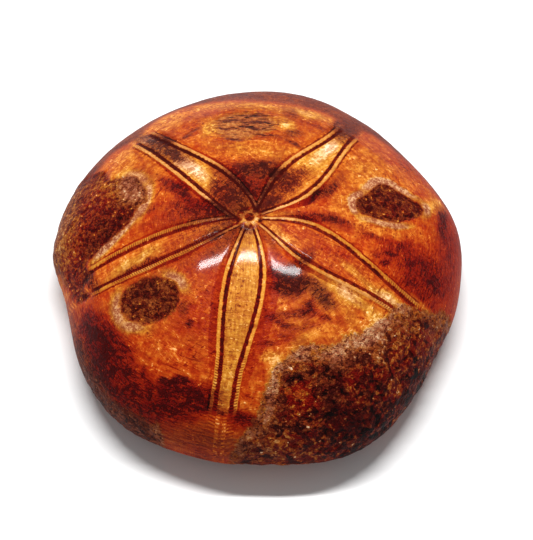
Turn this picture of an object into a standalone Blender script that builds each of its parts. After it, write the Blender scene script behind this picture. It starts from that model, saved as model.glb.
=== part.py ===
"""A polished fossil sand dollar: the petrified test of a flat-based, domed sea urchin, as one solid.

Metres, +Z up. The origin is the middle of the bounding box's bottom, on the surface the fossil
stands on. The front petal points along -Y, and the rear of the animal, with its vent, is at +Y.
Lengths below are in millimetres and bearings in degrees, counter-clockwise from +X seen from above.
"""

import math

import bmesh
import bpy
import numpy as np

MM = 0.001

# Driving dimensions of the whole test
MARGIN_RADIUS = 39.7
AMBITUS_HEIGHT = 8.5  # height of the widest girdle above the base
TOTAL_HEIGHT = 31.0
DOME_FULLNESS = 2.0  # 2 is an ellipse; more pushes the shoulder out
SHOULDER_FULLNESS = 1.9
APEX = (-0.7, -1.1)
MOUTH = (0.0, 1.0)

# Swellings and dents of the margin: bearing, half width in degrees, and how far it stands out
MARGIN_LOBES = (
    (21, 13, 1.2),
    (48, 17, -0.5),
    (91, 21, 1.0),
    (133, 21, -0.2),
    (172, 10, 0.5),
    (185, 7, 1.0),
    (202, 18, -2.6),
    (243, 16, 1.1),
    (271, 10, 0.5),
    (306, 19, 2.6),
    (342, 10, -0.6),
)

# Petals: bearing at the apex, turn and curl of the centre line, length of its outline, greatest
# half width between the grooves, share of the length where that is, share of the half width that
# stays open at the tip, how quickly it opens, and where the petal ends
PETALS = {
    "front": (-80.1, -13.3, 4.7, 30.3, 2.94, 0.44, 0.51, 1.24, 34.5),
    "front_right": (-8.0, -24.9, 18.1, 42.0, 3.37, 0.33, 0.55, 1.94, 34.0),
    "rear_right": (51.0, 9.9, 0.5, 32.2, 3.2, 0.41, 0.48, 1.75, 31.0),
    "rear_left": (130.8, 24.1, -14.3, 31.6, 2.81, 0.25, 0.53, 0.54, 31.5),
    "front_left": (203.7, 7.7, -9.3, 33.6, 2.12, 0.44, 0.9, 1.01, 31.0),
}
PETAL_SWELL = 0.35  # how far a petal stands above the plates beside it
PORE_ZONE = 1.4  # how far a petal's pore zone reaches beyond its groove

APICAL_DISC_RADIUS = 3.0
APICAL_DISC_SWELL = 0.3

# Where the shell is gone and the stone filling shows: plan centre from the apex as bearing and
# distance, half length across the bearing, half length along it, and depth
BARE_PATCHES = (
    (23.0, 27.8, 4.9, 7.6, 0.45),
    (175.0, 29.0, 9.0, 7.5, 0.45),
    (226.5, 23.4, 4.8, 5.5, 0.45),
)

# Underside
ROLL_INWARD = 10.5  # plan width of the rounded edge between the girdle and the base
CONCAVITY = 2.2  # how far the base rises towards the mouth
STANDING_RADIUS = 27.0  # plan radius where the concave middle meets the standing flats
FLAT_ALLOWANCE = 0.18  # how much is rubbed off the cushions to make the flats
MOUTH_RADIUS = 4.2
MOUTH_DEPTH = 2.6
FURROW_DEPTH = 0.9
FURROW_HALF_WIDTH = 2.2
VENT_DISTANCE = 24.0
VENT_HALF_LENGTH = 4.2
VENT_HALF_WIDTH = 3.4
VENT_DEPTH = 2.2

# Mesh divisions
COLUMNS = 120
DOME_RINGS = 20
ROLL_RINGS = 6
BASE_RING_RADII = (27.8, 26.4, 25.0, 23.6, 22.2, 20.8, 18.8, 15.0, 11.0, 7.8, 5.6, 4.4, 3.2, 1.7)


def turn_between(bearing, centre):
    """The angle from centre to bearing, in degrees, brought into -180 to 180."""
    return (bearing - centre + 180.0) % 360.0 - 180.0


def smooth_step(value, low, high):
    """0 below low, 1 above high, and a cubic ease between them."""
    share = np.clip((value - low) / (high - low), 0.0, 1.0)
    return share * share * (3.0 - 2.0 * share)


def bell(distance, half_width):
    """A bell curve that is 1 at 0 and falls to about 0.37 at half_width."""
    return np.exp(-((distance / half_width) ** 2))


def margin_radius(bearing):
    """A circle plus one bell curve of bearing for each lobe."""
    radius = np.full_like(bearing, MARGIN_RADIUS)
    for centre, half_width, height in MARGIN_LOBES:
        radius += height * bell(turn_between(bearing, centre), half_width)
    return radius


def dome_height(share):
    """Height at a share of the way out from the apex: a superellipse standing on the girdle."""
    rise = TOTAL_HEIGHT - AMBITUS_HEIGHT - APICAL_DISC_SWELL
    profile = np.clip(1.0 - share**DOME_FULLNESS, 0.0, 1.0) ** (1.0 / SHOULDER_FULLNESS)
    return AMBITUS_HEIGHT + rise * profile


def petal_half_width(along, half_width, widest, open_tip, opening):
    """Lens outline that opens from the apex, is widest part way along and stays open at the tip."""
    closing = opening * (1.0 - widest) / widest
    lens = (along / widest) ** opening * np.clip((1.0 - along) / (1.0 - widest), 0.0, None) ** closing
    tail = open_tip * np.clip(along, 0.0, 1.0) ** 1.5
    return half_width * ((1.0 - open_tip * widest**1.5) * lens + tail)


def petal_relief(x, y):
    """Low swelling inside each petal, which runs out at its tip and at the apical disc."""
    distance = np.hypot(x - APEX[0], y - APEX[1])
    bearing = np.degrees(np.arctan2(y - APEX[1], x - APEX[0]))
    relief = np.zeros_like(x)
    for root, turn, curl, length, half_width, widest, open_tip, opening, end in PETALS.values():
        along = distance / length
        off_line = np.radians(turn_between(bearing, root + turn * along + curl * along**2))
        across = np.where(np.abs(off_line) < 1.5, distance * np.sin(off_line), 99.0)
        edge = PORE_ZONE + petal_half_width(along, half_width, widest, open_tip, opening)
        inside = 1.0 - smooth_step(np.abs(across) / edge, 0.6, 1.25)
        ends = smooth_step(distance / end, 0.1, 0.3) * (1.0 - smooth_step(distance / end, 0.85, 1.05))
        relief = np.maximum(relief, PETAL_SWELL * inside * ends)
    return relief


def apical_relief(x, y):
    """The small boss of the apical disc, on top of the dome."""
    distance = np.hypot(x - APEX[0], y - APEX[1])
    return APICAL_DISC_SWELL * (1.0 - smooth_step(distance, 0.4, APICAL_DISC_RADIUS))


def bare_relief(x, y):
    """The bare patches, a little lower than the shell around them."""
    relief = np.zeros_like(x)
    for bearing, distance, half_across, half_along, depth in BARE_PATCHES:
        outward = np.array((math.cos(math.radians(bearing)), math.sin(math.radians(bearing))))
        from_centre = np.stack((x - APEX[0], y - APEX[1])) - (distance * outward)[:, None]
        along = outward @ from_centre
        across = outward[0] * from_centre[1] - outward[1] * from_centre[0]
        inside = 1.0 - smooth_step(np.hypot(along / half_along, across / half_across), 0.7, 1.1)
        relief -= depth * inside
    return relief


def base_height(x, y):
    """Height of the underside: concave towards the mouth, furrowed, and flat where it stands."""
    out_x, out_y = x - MOUTH[0], y - MOUTH[1]
    distance = np.hypot(out_x, out_y)
    bearing = np.degrees(np.arctan2(out_y, out_x))
    height = CONCAVITY * (1.0 - smooth_step(distance, 0.0, STANDING_RADIUS))
    height += MOUTH_DEPTH * (1.0 - smooth_step(distance, 0.6 * MOUTH_RADIUS, 1.3 * MOUTH_RADIUS))
    for root, turn, curl, *_outline in PETALS.values():
        off_line = np.radians(turn_between(bearing, root + turn + curl))
        across = np.where(np.abs(off_line) < 1.5, distance * np.sin(off_line), 99.0)
        height += FURROW_DEPTH * bell(across, FURROW_HALF_WIDTH) * smooth_step(distance, 1.0, 6.0)
    vent = np.hypot(x / VENT_HALF_WIDTH, (y - MOUTH[1] - VENT_DISTANCE) / VENT_HALF_LENGTH)
    height += VENT_DEPTH * (1.0 - smooth_step(vent, 0.15, 1.15))
    return np.maximum(height - FLAT_ALLOWANCE, 0.0)


def dome_ring(step, bearing, radius):
    """One ring of the top, at equal steps of a quarter turn between the apex and the girdle."""
    share = math.sin(0.5 * math.pi * step / DOME_RINGS)
    x = APEX[0] * (1.0 - share) + share * radius * np.cos(bearing)
    y = APEX[1] * (1.0 - share) + share * radius * np.sin(bearing)
    shoulder = 1.0 - smooth_step(np.float64(share), 0.93, 1.0)
    relief = petal_relief(x, y) + apical_relief(x, y) + bare_relief(x, y)
    return np.stack((x, y, dome_height(share) + shoulder * relief), axis=1)


def roll_ring(step, bearing, radius):
    """One ring of the rounded lower edge, a quarter ellipse from the girdle to the base."""
    turn = 0.5 * math.pi * step / ROLL_RINGS
    inset = radius - ROLL_INWARD * (1.0 - math.cos(turn))
    x, y = inset * np.cos(bearing), inset * np.sin(bearing)
    drop = math.sin(turn)
    height = AMBITUS_HEIGHT * (1.0 - drop) + drop**6 * base_height(x, y)
    return np.stack((x, y, height), axis=1)


def base_ring(ring_radius, bearing, radius):
    """One ring of the underside, sliding from the margin's outline to a circle round the mouth."""
    outer = MARGIN_RADIUS - ROLL_INWARD
    share = ring_radius / outer
    edge_x = (radius - ROLL_INWARD) * np.cos(bearing)
    edge_y = (radius - ROLL_INWARD) * np.sin(bearing)
    x = MOUTH[0] * (1.0 - share) + share * edge_x
    y = MOUTH[1] * (1.0 - share) + share * edge_y
    return np.stack((x, y, base_height(x, y)), axis=1)


def centred(rings):
    """The rings moved in plan so that the bounding box's middle is at the origin."""
    points = np.concatenate(rings)
    middle = 0.5 * (points.min(axis=0) + points.max(axis=0))
    return [ring - np.array((middle[0], middle[1], 0.0)) for ring in rings]


def test_rings():
    """Every ring from just below the apex down over the girdle and in to the mouth."""
    bearing = np.radians(np.arange(COLUMNS) * 360.0 / COLUMNS)
    radius = margin_radius(np.degrees(bearing))
    rings = [dome_ring(0, bearing[:1], radius[:1])]
    rings += [dome_ring(step, bearing, radius) for step in range(1, DOME_RINGS + 1)]
    rings += [roll_ring(step, bearing, radius) for step in range(1, ROLL_RINGS + 1)]
    rings += [base_ring(ring_radius, bearing, radius) for ring_radius in BASE_RING_RADII]
    rings += [base_ring(0.0, bearing[:1], radius[:1])]
    return centred(rings)


def join_rings(rings, name):
    """A closed mesh: fans at the apex and at the mouth, and bands of quads between the rings."""
    shape = bmesh.new()
    loops = [[shape.verts.new(point * MM) for point in ring] for ring in rings]
    for upper, lower in zip(loops, loops[1:]):
        for column in range(COLUMNS):
            after = (column + 1) % COLUMNS
            if len(upper) == 1:
                shape.faces.new((upper[0], lower[column], lower[after]))
            elif len(lower) == 1:
                shape.faces.new((upper[after], upper[column], lower[0]))
            else:
                shape.faces.new((upper[after], upper[column], lower[column], lower[after]))
    bmesh.ops.recalc_face_normals(shape, faces=shape.faces)
    bmesh.ops.triangulate(shape, faces=shape.faces)
    mesh = bpy.data.meshes.new(name)
    shape.to_mesh(mesh)
    shape.free()
    mesh.shade_smooth()
    mesh.set_sharp_from_angle(angle=math.radians(40.0))
    return mesh


def polished_calcite():
    """Amber calcite with a hand polish."""
    material = bpy.data.materials.new("polished_calcite")
    material.use_nodes = True
    surface = material.node_tree.nodes["Principled BSDF"]
    surface.inputs["Base Color"].default_value = (0.48, 0.13, 0.02, 1.0)
    surface.inputs["Roughness"].default_value = 0.3
    surface.inputs["Metallic"].default_value = 0.0
    return material


def build():
    for old in list(bpy.data.objects):
        bpy.data.objects.remove(old, do_unlink=True)
    mesh = join_rings(test_rings(), "sand_dollar")
    mesh.materials.append(polished_calcite())
    test = bpy.data.objects.new("sand_dollar", mesh)
    bpy.context.scene.collection.objects.link(test)


build()
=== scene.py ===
"""The finished look of the fossil sand dollar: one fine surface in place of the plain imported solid.

Lengths are in millimetres until the mesh is filled, bearings in degrees counter-clockwise from +X
seen from above, and places on the dome are plan offsets from its apex.
"""

import math

import bpy
import numpy as np
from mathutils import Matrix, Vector


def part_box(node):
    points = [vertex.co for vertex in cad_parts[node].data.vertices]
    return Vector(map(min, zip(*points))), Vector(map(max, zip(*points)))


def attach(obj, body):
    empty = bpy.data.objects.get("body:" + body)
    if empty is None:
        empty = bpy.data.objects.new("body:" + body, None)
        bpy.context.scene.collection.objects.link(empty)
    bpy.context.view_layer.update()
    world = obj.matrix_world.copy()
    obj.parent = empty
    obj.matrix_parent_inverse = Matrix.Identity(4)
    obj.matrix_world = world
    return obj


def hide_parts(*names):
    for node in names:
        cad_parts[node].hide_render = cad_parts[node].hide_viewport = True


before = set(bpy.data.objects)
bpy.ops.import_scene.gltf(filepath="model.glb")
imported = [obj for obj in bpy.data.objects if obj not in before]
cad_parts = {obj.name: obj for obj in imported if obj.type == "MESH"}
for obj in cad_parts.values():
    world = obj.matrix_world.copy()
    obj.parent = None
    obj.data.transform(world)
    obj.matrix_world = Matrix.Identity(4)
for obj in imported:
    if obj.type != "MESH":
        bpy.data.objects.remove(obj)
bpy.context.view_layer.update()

MM = 0.001
BOX_LOW, BOX_HIGH = (np.array(corner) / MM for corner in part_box("sand_dollar"))

# The test's own dimensions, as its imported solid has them
MARGIN_RADIUS = 39.7
AMBITUS_HEIGHT = 8.5
TOTAL_HEIGHT = BOX_HIGH[2]
DOME_FULLNESS = 2.0
SHOULDER_FULLNESS = 1.9
APICAL_DISC_SWELL = 0.3
APICAL_DISC_RADIUS = 3.0
APEX = (-0.7, -1.1)
MOUTH = (0.0, 1.0)

# Swellings and dents of the margin: bearing, half width in degrees, and how far it stands out
MARGIN_LOBES = (
    (21, 13, 1.2),
    (48, 17, -0.5),
    (91, 21, 1.0),
    (133, 21, -0.2),
    (172, 10, 0.5),
    (185, 7, 1.0),
    (202, 18, -2.6),
    (243, 16, 1.1),
    (271, 10, 0.5),
    (306, 19, 2.6),
    (342, 10, -0.6),
)

# Underside
ROLL_INWARD = 10.5
CONCAVITY = 2.2
STANDING_RADIUS = 27.0
FLAT_ALLOWANCE = 0.18
MOUTH_RADIUS = 4.2
MOUTH_DEPTH = 2.6
FURROW_DEPTH = 0.9
FURROW_HALF_WIDTH = 2.2
VENT_DISTANCE = 24.0
VENT_HALF_LENGTH = 4.2
VENT_HALF_WIDTH = 3.4
VENT_DEPTH = 2.2

# Petals: bearing at the apex, turn and curl of the centre line, length of its outline, greatest
# half width between the inner grooves, share of the length where that is, share of the half width
# that stays open at the tip, how quickly it opens, where the petal ends, and the shares of its
# length between which the pores show as a ladder
PETALS = {
    "front": (-80.1, -13.3, 4.7, 30.3, 2.94, 0.44, 0.51, 1.24, 34.5, 0.72, 1.2),
    "front_right": (-8.0, -24.9, 18.1, 42.0, 3.37, 0.33, 0.55, 1.94, 34.0, 0.75, 1.05),
    "rear_right": (51.0, 9.9, 0.5, 32.2, 3.2, 0.41, 0.48, 1.75, 31.0, 0.9, 1.0),
    "rear_left": (130.8, 24.1, -14.3, 31.6, 2.81, 0.25, 0.53, 0.54, 31.5, 0.9, 1.0),
    "front_left": (203.7, 7.7, -9.3, 33.6, 2.12, 0.44, 0.9, 1.01, 31.0, 0.2, 0.9),
}

# Their colours: how much paler and earthier than a plate the floor is, tone and earthiness of the
# inner grooves, half width of the grooves' stain, and tone of the strips
PETAL_PAINT = {
    "front": (0.085, 0.80, 0.31, 0.05, 0.36, 0.85),
    "front_right": (-0.03, 0.10, 0.36, 0.20, 0.36, 0.74),
    "rear_right": (0.09, 0.40, 0.32, 0.30, 0.34, 0.80),
    "rear_left": (0.06, 0.60, 0.27, 0.40, 0.38, 0.80),
    "front_left": (0.05, 0.15, 0.36, 0.10, 0.34, 0.76),
}
PAINT_FIELDS = ("floor_paler", "floor_earthier", "groove_tone", "groove_earth", "groove_reach",
                "strip_tone")
PETAL_START = 2.4
GROOVE_HALF_WIDTH = 0.36
GROOVE_DEPTH = 0.14
STRIP_START = 0.42
STRIP_END = 1.05
STRIP_HEIGHT = 0.07
OUTER_GROOVE_WIDTH = 0.35
OUTER_GROOVE_DEPTH = 0.07

# Dark bands outside the strips, counter-clockwise side then clockwise side of each petal:
# width, shares of the petal's length where the band begins and ends, and how dark it is
BANDS = {
    "front": ((2.6, 0.2, 1.0, 0.10), (1.4, 0.2, 1.0, 0.10)),
    "front_right": ((0.7, 0.0, 0.6, 0.20), (0.9, 0.2, 0.95, 0.14)),
    "rear_right": ((0.5, 0.1, 0.8, 0.14), (1.5, 0.15, 0.65, 0.22)),
    "rear_left": ((0.5, 0.1, 0.9, 0.18), (0.5, 0.2, 0.8, 0.16)),
    "front_left": ((0.6, 0.2, 0.9, 0.14), (0.4, 0.2, 0.9, 0.10)),
}

# Where the shell is gone and stone filling shows: how frayed the edge is, then the corners of a
# smooth outline
BARE_PLACES = (
    (1.0, ((18.8, 8.5), (19.6, 10.2), (20.8, 11.6), (21.8, 13.6), (22.6, 14.9), (24.4, 15.3),
           (26.5, 14.6), (28.8, 14.0), (30.5, 14.0), (31.6, 12.6), (31.2, 11.0), (30.0, 9.4),
           (28.6, 8.1), (26.6, 6.8), (24.0, 6.2), (21.4, 6.1), (19.6, 6.6))),
    (1.5, ((-21.6, -16.8), (-19.8, -13.9), (-15.6, -13.0), (-12.0, -14.0), (-10.2, -16.8),
           (-11.0, -19.6), (-13.4, -21.4), (-17.4, -21.4), (-20.4, -19.6))),
    (1.6, ((-25.6, 9.6), (-22.6, 8.2), (-20.8, 5.4), (-20.2, 3.0), (-21.6, 1.2), (-22.6, -1.6),
           (-24.2, -3.6), (-25.8, -4.8), (-28.2, -6.8), (-29.9, -8.6), (-28.0, -10.4), (-29.8, -12.6),
           (-28.0, -14.6), (-30.5, -15.0), (-33.4, -11.4), (-36.4, -7.0), (-40.0, -4.0), (-43.0, 4.0),
           (-38.0, 12.0), (-31.0, 12.5), (-28.5, 9.5))),
)
# Where the pale frayed shell round those places shows: middle, half length, half width, bearing
# of the length, strength
FRAYED_EDGES = (
    (23.5, 15.6, 7.5, 3.6, 12, 1.0),
    (18.6, 8.5, 3.4, 2.0, 80, 1.0),
    (32.6, 13.8, 3.4, 1.8, 50, 0.7),
    (26.0, 5.8, 7.0, 1.6, 8, 0.65),
    (-21.4, -18.6, 3.8, 1.8, 105, 0.7),
    (-18.5, -21.8, 3.4, 1.4, -10, 0.6),
    (-11.4, -13.8, 3.0, 1.5, -30, 0.7),
    (-24.8, -3.8, 5.5, 1.3, 48, 1.3),
    (-20.6, 3.0, 4.0, 1.3, 85, 1.0),
    (-23.0, 8.4, 3.0, 1.6, -35, 0.6),
)
GREY_OUTLINE = ((-10.8, 24.0), (-9.2, 26.2), (-5.0, 27.2), (-0.5, 26.6), (1.6, 24.6), (0.6, 21.8),
                (-2.4, 19.6), (-6.0, 18.4), (-9.6, 20.2))
FRONT_CRUST_OUTLINE = ((1.0, -45.0), (3.0, -38.5), (6.2, -34.6), (7.4, -31.0), (8.3, -27.5), (10.0, -25.4),
                       (13.0, -22.2), (15.4, -21.2), (18.4, -20.6), (20.6, -18.6), (24.0, -16.2),
                       (26.0, -14.0), (27.6, -11.8), (30.0, -8.6), (33.0, -8.0), (36.0, -6.6),
                       (38.5, -4.6), (46.0, -4.0), (50.0, -20.0), (36.0, -44.0), (20.0, -48.0))
LOW_CRUST_OUTLINE = ((-31.5, -21.5), (-27.5, -25.4), (-23.5, -29.8), (-19.0, -33.2), (-14.4, -35.4),
                     (-10.0, -37.8), (-12.0, -46.0), (-26.0, -44.0), (-38.0, -30.0), (-37.0, -22.0))
CRUST_OUTLINES = (FRONT_CRUST_OUTLINE, LOW_CRUST_OUTLINE)
REAR_RIM_OUTLINE = ((44.0, 12.0), (37.5, 16.0), (33.0, 20.5), (29.0, 25.0), (24.0, 28.0), (19.5, 29.4),
                    (17.0, 28.0), (15.4, 25.0), (13.6, 27.6), (11.0, 31.0), (5.0, 31.8), (-4.0, 31.4),
                    (-14.0, 31.2), (-19.0, 29.4), (-23.0, 26.0), (-24.6, 22.0), (-26.6, 19.4),
                    (-30.0, 17.4), (-32.0, 13.0), (-38.0, 10.0), (-46.0, 10.0), (-46.0, 30.0),
                    (-20.0, 50.0), (0.0, 54.0), (24.0, 50.0), (48.0, 30.0))

# Stains: middle, half length, half width, bearing of the length, then how much paler and how much
# earthier the place is than a plain amber plate
STAINS = (
    # browner ground behind
    (0.0, 24.0, 30.0, 14.0, 0, 0.0, 0.28),
    (22.0, 12.0, 13.0, 10.0, 0, 0.0, 0.22),
    (-24.0, 12.0, 10.0, 8.0, 120, 0.0, 0.25),
    # dark cap behind the apex
    (-1.0, 6.0, 5.6, 4.6, 90, -0.26, 0.15),
    (0.5, 11.4, 5.0, 2.0, -3, -0.32, 0.35),
    (-5.0, 7.4, 5.0, 3.2, 135, -0.24, -0.2),
    (4.4, 8.0, 5.4, 2.6, 58, -0.24, -0.1),
    (2.2, 2.6, 2.6, 1.2, 50, -0.24, 0.0),
    (-8.6, 1.4, 5.6, 1.9, 172, -0.30, -0.1),
    (-4.4, 1.6, 3.4, 2.2, 165, -0.24, 0.0),
    (-14.4, 5.2, 4.4, 1.3, 143, -0.30, 0.0),
    (-19.5, 1.0, 3.0, 1.2, 20, -0.10, 0.0),
    (-8.0, -1.4, 6.5, 1.1, 197, -0.10, 0.2),
    (-5.6, -3.4, 3.4, 1.5, 215, -0.12, 0.5),
    (-4.0, -7.0, 4.0, 2.2, 240, -0.06, 0.3),
    (0.0, -2.6, 1.6, 0.8, 0, -0.12, 0.6),
    (4.2, -4.0, 3.2, 1.0, -45, -0.10, 0.3),
    # between the front right and rear right petals
    (5.0, 1.2, 4.0, 1.5, 15, 0.06, 0.6),
    (5.6, -2.4, 4.0, 1.4, -25, 0.09, 0.5),
    (11.6, 2.6, 5.4, 1.1, 8, -0.22, 0.0),
    (16.5, 2.8, 3.4, 1.2, -10, -0.16, 0.0),
    (12.4, 8.6, 3.2, 1.3, 52, -0.30, 0.2),
    (14.8, 12.0, 4.0, 1.0, 75, -0.10, 0.0),
    (19.0, 17.0, 6.0, 3.4, 70, 0.05, 0.2),
    (17.0, 7.0, 5.0, 2.2, 60, 0.02, 0.2),
    (24.0, 3.8, 5.0, 1.6, 5, 0.05, 0.2),
    (22.8, 1.8, 1.8, 0.7, 0, -0.16, 0.0),
    (30.4, -0.2, 5.6, 3.8, -8, -0.15, -0.3),
    (33.6, -1.8, 3.4, 3.2, -10, -0.10, -0.3),
    (35.0, -0.8, 1.0, 2.4, 10, -0.16, 0.0),
    (27.6, 2.2, 3.0, 1.0, 30, -0.10, -0.2),
    (37.6, 8.0, 15.0, 4.0, 86, -0.10, -0.15),
    (26.4, 0.0, 1.0, 0.7, 0, -0.30, 0.0),
    (25.9, -2.3, 1.0, 0.6, 40, -0.30, 0.0),
    (24.4, -1.1, 1.0, 0.5, 20, -0.20, 0.0),
    (35.6, 12.8, 4.2, 1.0, 95, -0.22, 0.0),
    (34.0, 16.0, 3.0, 1.6, 60, 0.08, 0.6),
    (37.5, 4.0, 9.0, 2.0, 85, -0.06, -0.2),
    (24.0, 22.5, 6.0, 3.0, 20, -0.03, 0.0),
    (32.6, -6.6, 4.0, 0.8, -15, 0.12, 0.5),
    # rear plate
    (-1.0, 16.2, 9.5, 2.4, 0, 0.05, 0.35),
    (-15.5, 24.6, 4.6, 2.2, 10, -0.06, 0.0),
    (-20.5, 25.0, 3.6, 3.4, 60, 0.08, 0.3),
    (2.8, 25.0, 2.0, 2.6, 60, 0.10, 0.7),
    (-11.2, 21.6, 1.6, 3.0, 0, 0.08, 0.7),
    (4.8, 22.6, 2.0, 1.1, 30, -0.22, 0.3),
    (5.4, 19.6, 1.8, 0.5, -25, -0.24, 0.2),
    (0.6, 20.4, 2.4, 0.4, 8, -0.24, 0.2),
    (-3.2, 26.4, 2.0, 0.4, 6, -0.22, 0.2),
    (-2.6, 24.2, 2.2, 0.35, 8, -0.26, 0.2),
    (-7.6, 24.6, 2.4, 0.35, 8, -0.22, 0.2),
    (-3.6, 22.6, 2.2, 0.35, 4, -0.26, 0.2),
    (-8.2, 22.0, 1.6, 0.35, 0, -0.22, 0.2),
    (-6.0, 18.7, 1.8, 0.4, 3, -0.26, 0.2),
    (-14.8, 20.4, 2.6, 0.5, 55, -0.22, 0.3),
    (3.4, 28.0, 2.0, 1.6, 90, -0.12, 0.0),
    (9.0, 26.4, 2.4, 0.7, -30, -0.12, 0.0),
    (7.6, 29.4, 4.0, 1.4, -10, 0.05, 0.5),
    (-4.0, 29.6, 14.0, 1.6, 0, 0.05, 0.5),
    # rear right petal
    (12.4, 21.0, 2.6, 1.2, 75, 0.10, 0.9),
    (10.6, 17.6, 4.0, 1.6, 65, 0.06, 0.5),
    (7.0, 10.6, 4.0, 1.8, 55, -0.16, -0.1),
    (14.6, 28.6, 5.2, 2.6, 78, -0.36, 0.3),
    # rear left petal
    (-13.8, 10.8, 3.0, 1.5, 143, 0.08, 1.0),
    (-10.6, 8.2, 3.0, 1.6, 140, 0.10, 0.6),
    (-19.6, 16.8, 4.8, 2.2, 130, -0.40, 0.1),
    (-6.0, 4.6, 3.0, 1.6, 140, -0.20, -0.2),
    (-24.4, 20.0, 4.0, 1.6, 130, -0.2, 0.7),
    (-27.0, 13.6, 4.0, 3.4, 110, 0.06, 0.1),
    (-15.0, -1.4, 6.0, 2.6, 195, -0.06, 0.0),
    (-29.0, -3.6, 5.0, 2.6, 60, -0.12, 0.2),
    (-24.6, -1.6, 4.4, 1.6, 52, -0.14, 0.0),
    (-37.5, 3.0, 11.0, 3.6, 95, 0.15, 1.0),
    (-24.2, 5.8, 4.6, 2.8, 120, 0.24, 1.3),
    (-30.0, 7.6, 5.0, 3.0, 150, 0.17, 0.2),
    (-31.0, 0.0, 8.0, 10.0, 0, 0.10, -0.3),
    (-27.0, 1.0, 4.0, 2.4, 60, -0.06, 0.0),
    (-33.5, -8.0, 7.0, 2.0, 108, 0.14, -0.2),
    (-36.6, -3.0, 3.0, 1.4, 100, 0.12, 0.0),
    # front left petal and the plate before it
    (-17.0, -6.4, 4.0, 1.4, 205, 0.05, 0.1),
    (-20.0, -9.6, 4.6, 1.2, 207, 0.03, 0.9),
    (-17.8, -11.3, 2.4, 0.5, 200, 0.14, 0.9),
    (-17.4, -10.2, 3.4, 0.6, 200, -0.20, 0.0),
    (-24.4, -12.6, 3.6, 0.8, 202, 0.0, 0.4),
    (-28.0, -12.2, 2.6, 1.2, 120, -0.28, 0.3),
    (-7.6, -5.4, 3.6, 0.7, 215, -0.14, 0.2),
    (-24.6, -23.0, 5.0, 3.0, 120, -0.34, -0.3),
    (-20.6, -28.0, 5.4, 3.4, 125, -0.34, -0.3),
    (-27.4, -20.0, 3.4, 1.8, 115, -0.22, -0.2),
    (-7.0, -33.4, 6.6, 2.4, 4, -0.42, -0.5),
    (-15.0, -32.6, 5.0, 3.0, -20, -0.24, -0.4),
    (-8.4, -30.9, 2.4, 0.6, 2, -0.38, 0.1),
    (-10.2, -32.3, 1.6, 0.5, 0, -0.26, 0.1),
    (-11.4, -30.4, 0.9, 0.5, 0, -0.30, 0.1),
    (-15.0, -29.0, 0.9, 0.5, 60, -0.30, 0.1),
    (-7.8, -21.6, 1.0, 0.5, 30, -0.24, 0.1),
    (-9.2, -19.0, 1.0, 1.6, 30, -0.16, 0.2),
    (5.0, -35.0, 3.0, 1.0, 4, -0.36, -0.4),
    (-4.0, -37.4, 9.0, 1.4, -5, -0.10, 0.3),
    (0.5, -34.2, 3.0, 0.28, 0, -0.24, 0.0),
    (-32.5, -17.0, 9.0, 2.4, 112, -0.14, 0.3),
    (-27.0, -27.5, 8.5, 2.6, 128, -0.30, 0.7),
    (-16.0, -36.0, 8.0, 2.2, 150, -0.26, 0.5),
    (0.0, -40.0, 14.0, 2.2, 0, -0.10, 0.1),
    # between the front petal and the front right petal
    (7.6, -10.4, 2.8, 2.0, -30, -0.34, 0.2),
    (8.6, -13.2, 2.6, 1.2, -10, -0.34, 0.2),
    (11.4, -11.4, 2.0, 1.6, 30, -0.36, 0.2),
    (14.6, -11.6, 3.0, 1.6, -20, -0.20, 0.6),
    (16.4, -13.8, 2.2, 1.2, -20, -0.18, 0.4),
    (13.4, -15.6, 1.4, 1.7, 0, -0.26, 0.0),
    (8.6, -17.6, 2.8, 0.7, 10, -0.16, 0.0),
    (9.4, -19.2, 3.4, 0.8, -12, -0.18, 0.0),
    (12.8, -16.6, 2.8, 1.0, 15, -0.15, 0.0),
    (13.4, -18.8, 1.6, 0.8, 10, -0.16, 0.0),
    (10.4, -21.2, 2.4, 0.8, -8, -0.14, 0.0),
    (7.2, -22.8, 1.8, 0.7, 20, -0.13, 0.0),
    (16.6, -16.4, 1.0, 0.6, 0, -0.24, 0.0),
    (20.0, -12.6, 4.0, 1.8, -60, 0.03, 0.5),
    (24.5, -12.8, 3.4, 1.2, -30, 0.06, 0.5),
    (8.0, -25.0, 2.2, 1.0, 25, 0.10, 0.6),
    (12.4, -21.6, 2.4, 0.8, 45, 0.08, 0.5),
    (22.0, -9.8, 6.0, 0.9, -9, 0.08, 0.9),
    (27.4, -9.0, 4.0, 1.3, -12, 0.14, 1.2),
    (21.0, -6.4, 5.0, 0.9, -28, 0.07, 0.5),
    (17.0, -3.6, 4.0, 1.2, -20, -0.06, -0.1),
    (14.0, -17.0, 9.0, 6.0, -30, 0.03, 0.25),
    (19.0, -10.6, 7.0, 1.3, -16, 0.03, 0.8),
    # broad shading of the plates
    (-9.0, -6.6, 12.0, 5.6, 213, -0.08, 0.1),
    (-1.4, -3.2, 3.4, 1.8, 30, -0.10, 0.2),
    (-3.0, -20.0, 8.0, 9.0, 0, -0.05, 0.0),
    (10.6, -7.6, 3.6, 1.7, 60, -0.28, 0.3),
    (2.6, 13.8, 3.2, 1.5, 20, -0.12, 0.1),
    (0.0, 28.4, 15.0, 4.4, 0, -0.04, 0.0),
    (-6.6, 16.4, 4.0, 1.8, -15, -0.06, 0.0),
    (-15.4, 13.0, 2.8, 1.8, 135, -0.18, 0.3),
    (-12.0, 0.4, 5.0, 2.6, 0, -0.08, 0.1),
    (-24.0, 9.0, 5.0, 2.4, 160, -0.10, 0.1),
    (-20.4, -11.5, 3.4, 0.9, 205, -0.14, 0.0),
    (31.5, -5.4, 5.0, 1.8, -12, -0.13, -0.2),
    (32.5, 0.6, 4.4, 3.2, 10, -0.06, 0.0),
    (27.0, 26.0, 10.0, 3.4, 130, -0.07, 0.0),
    (-15.8, -17.4, 6.0, 5.0, 0, 0.0, 0.4),
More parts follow.
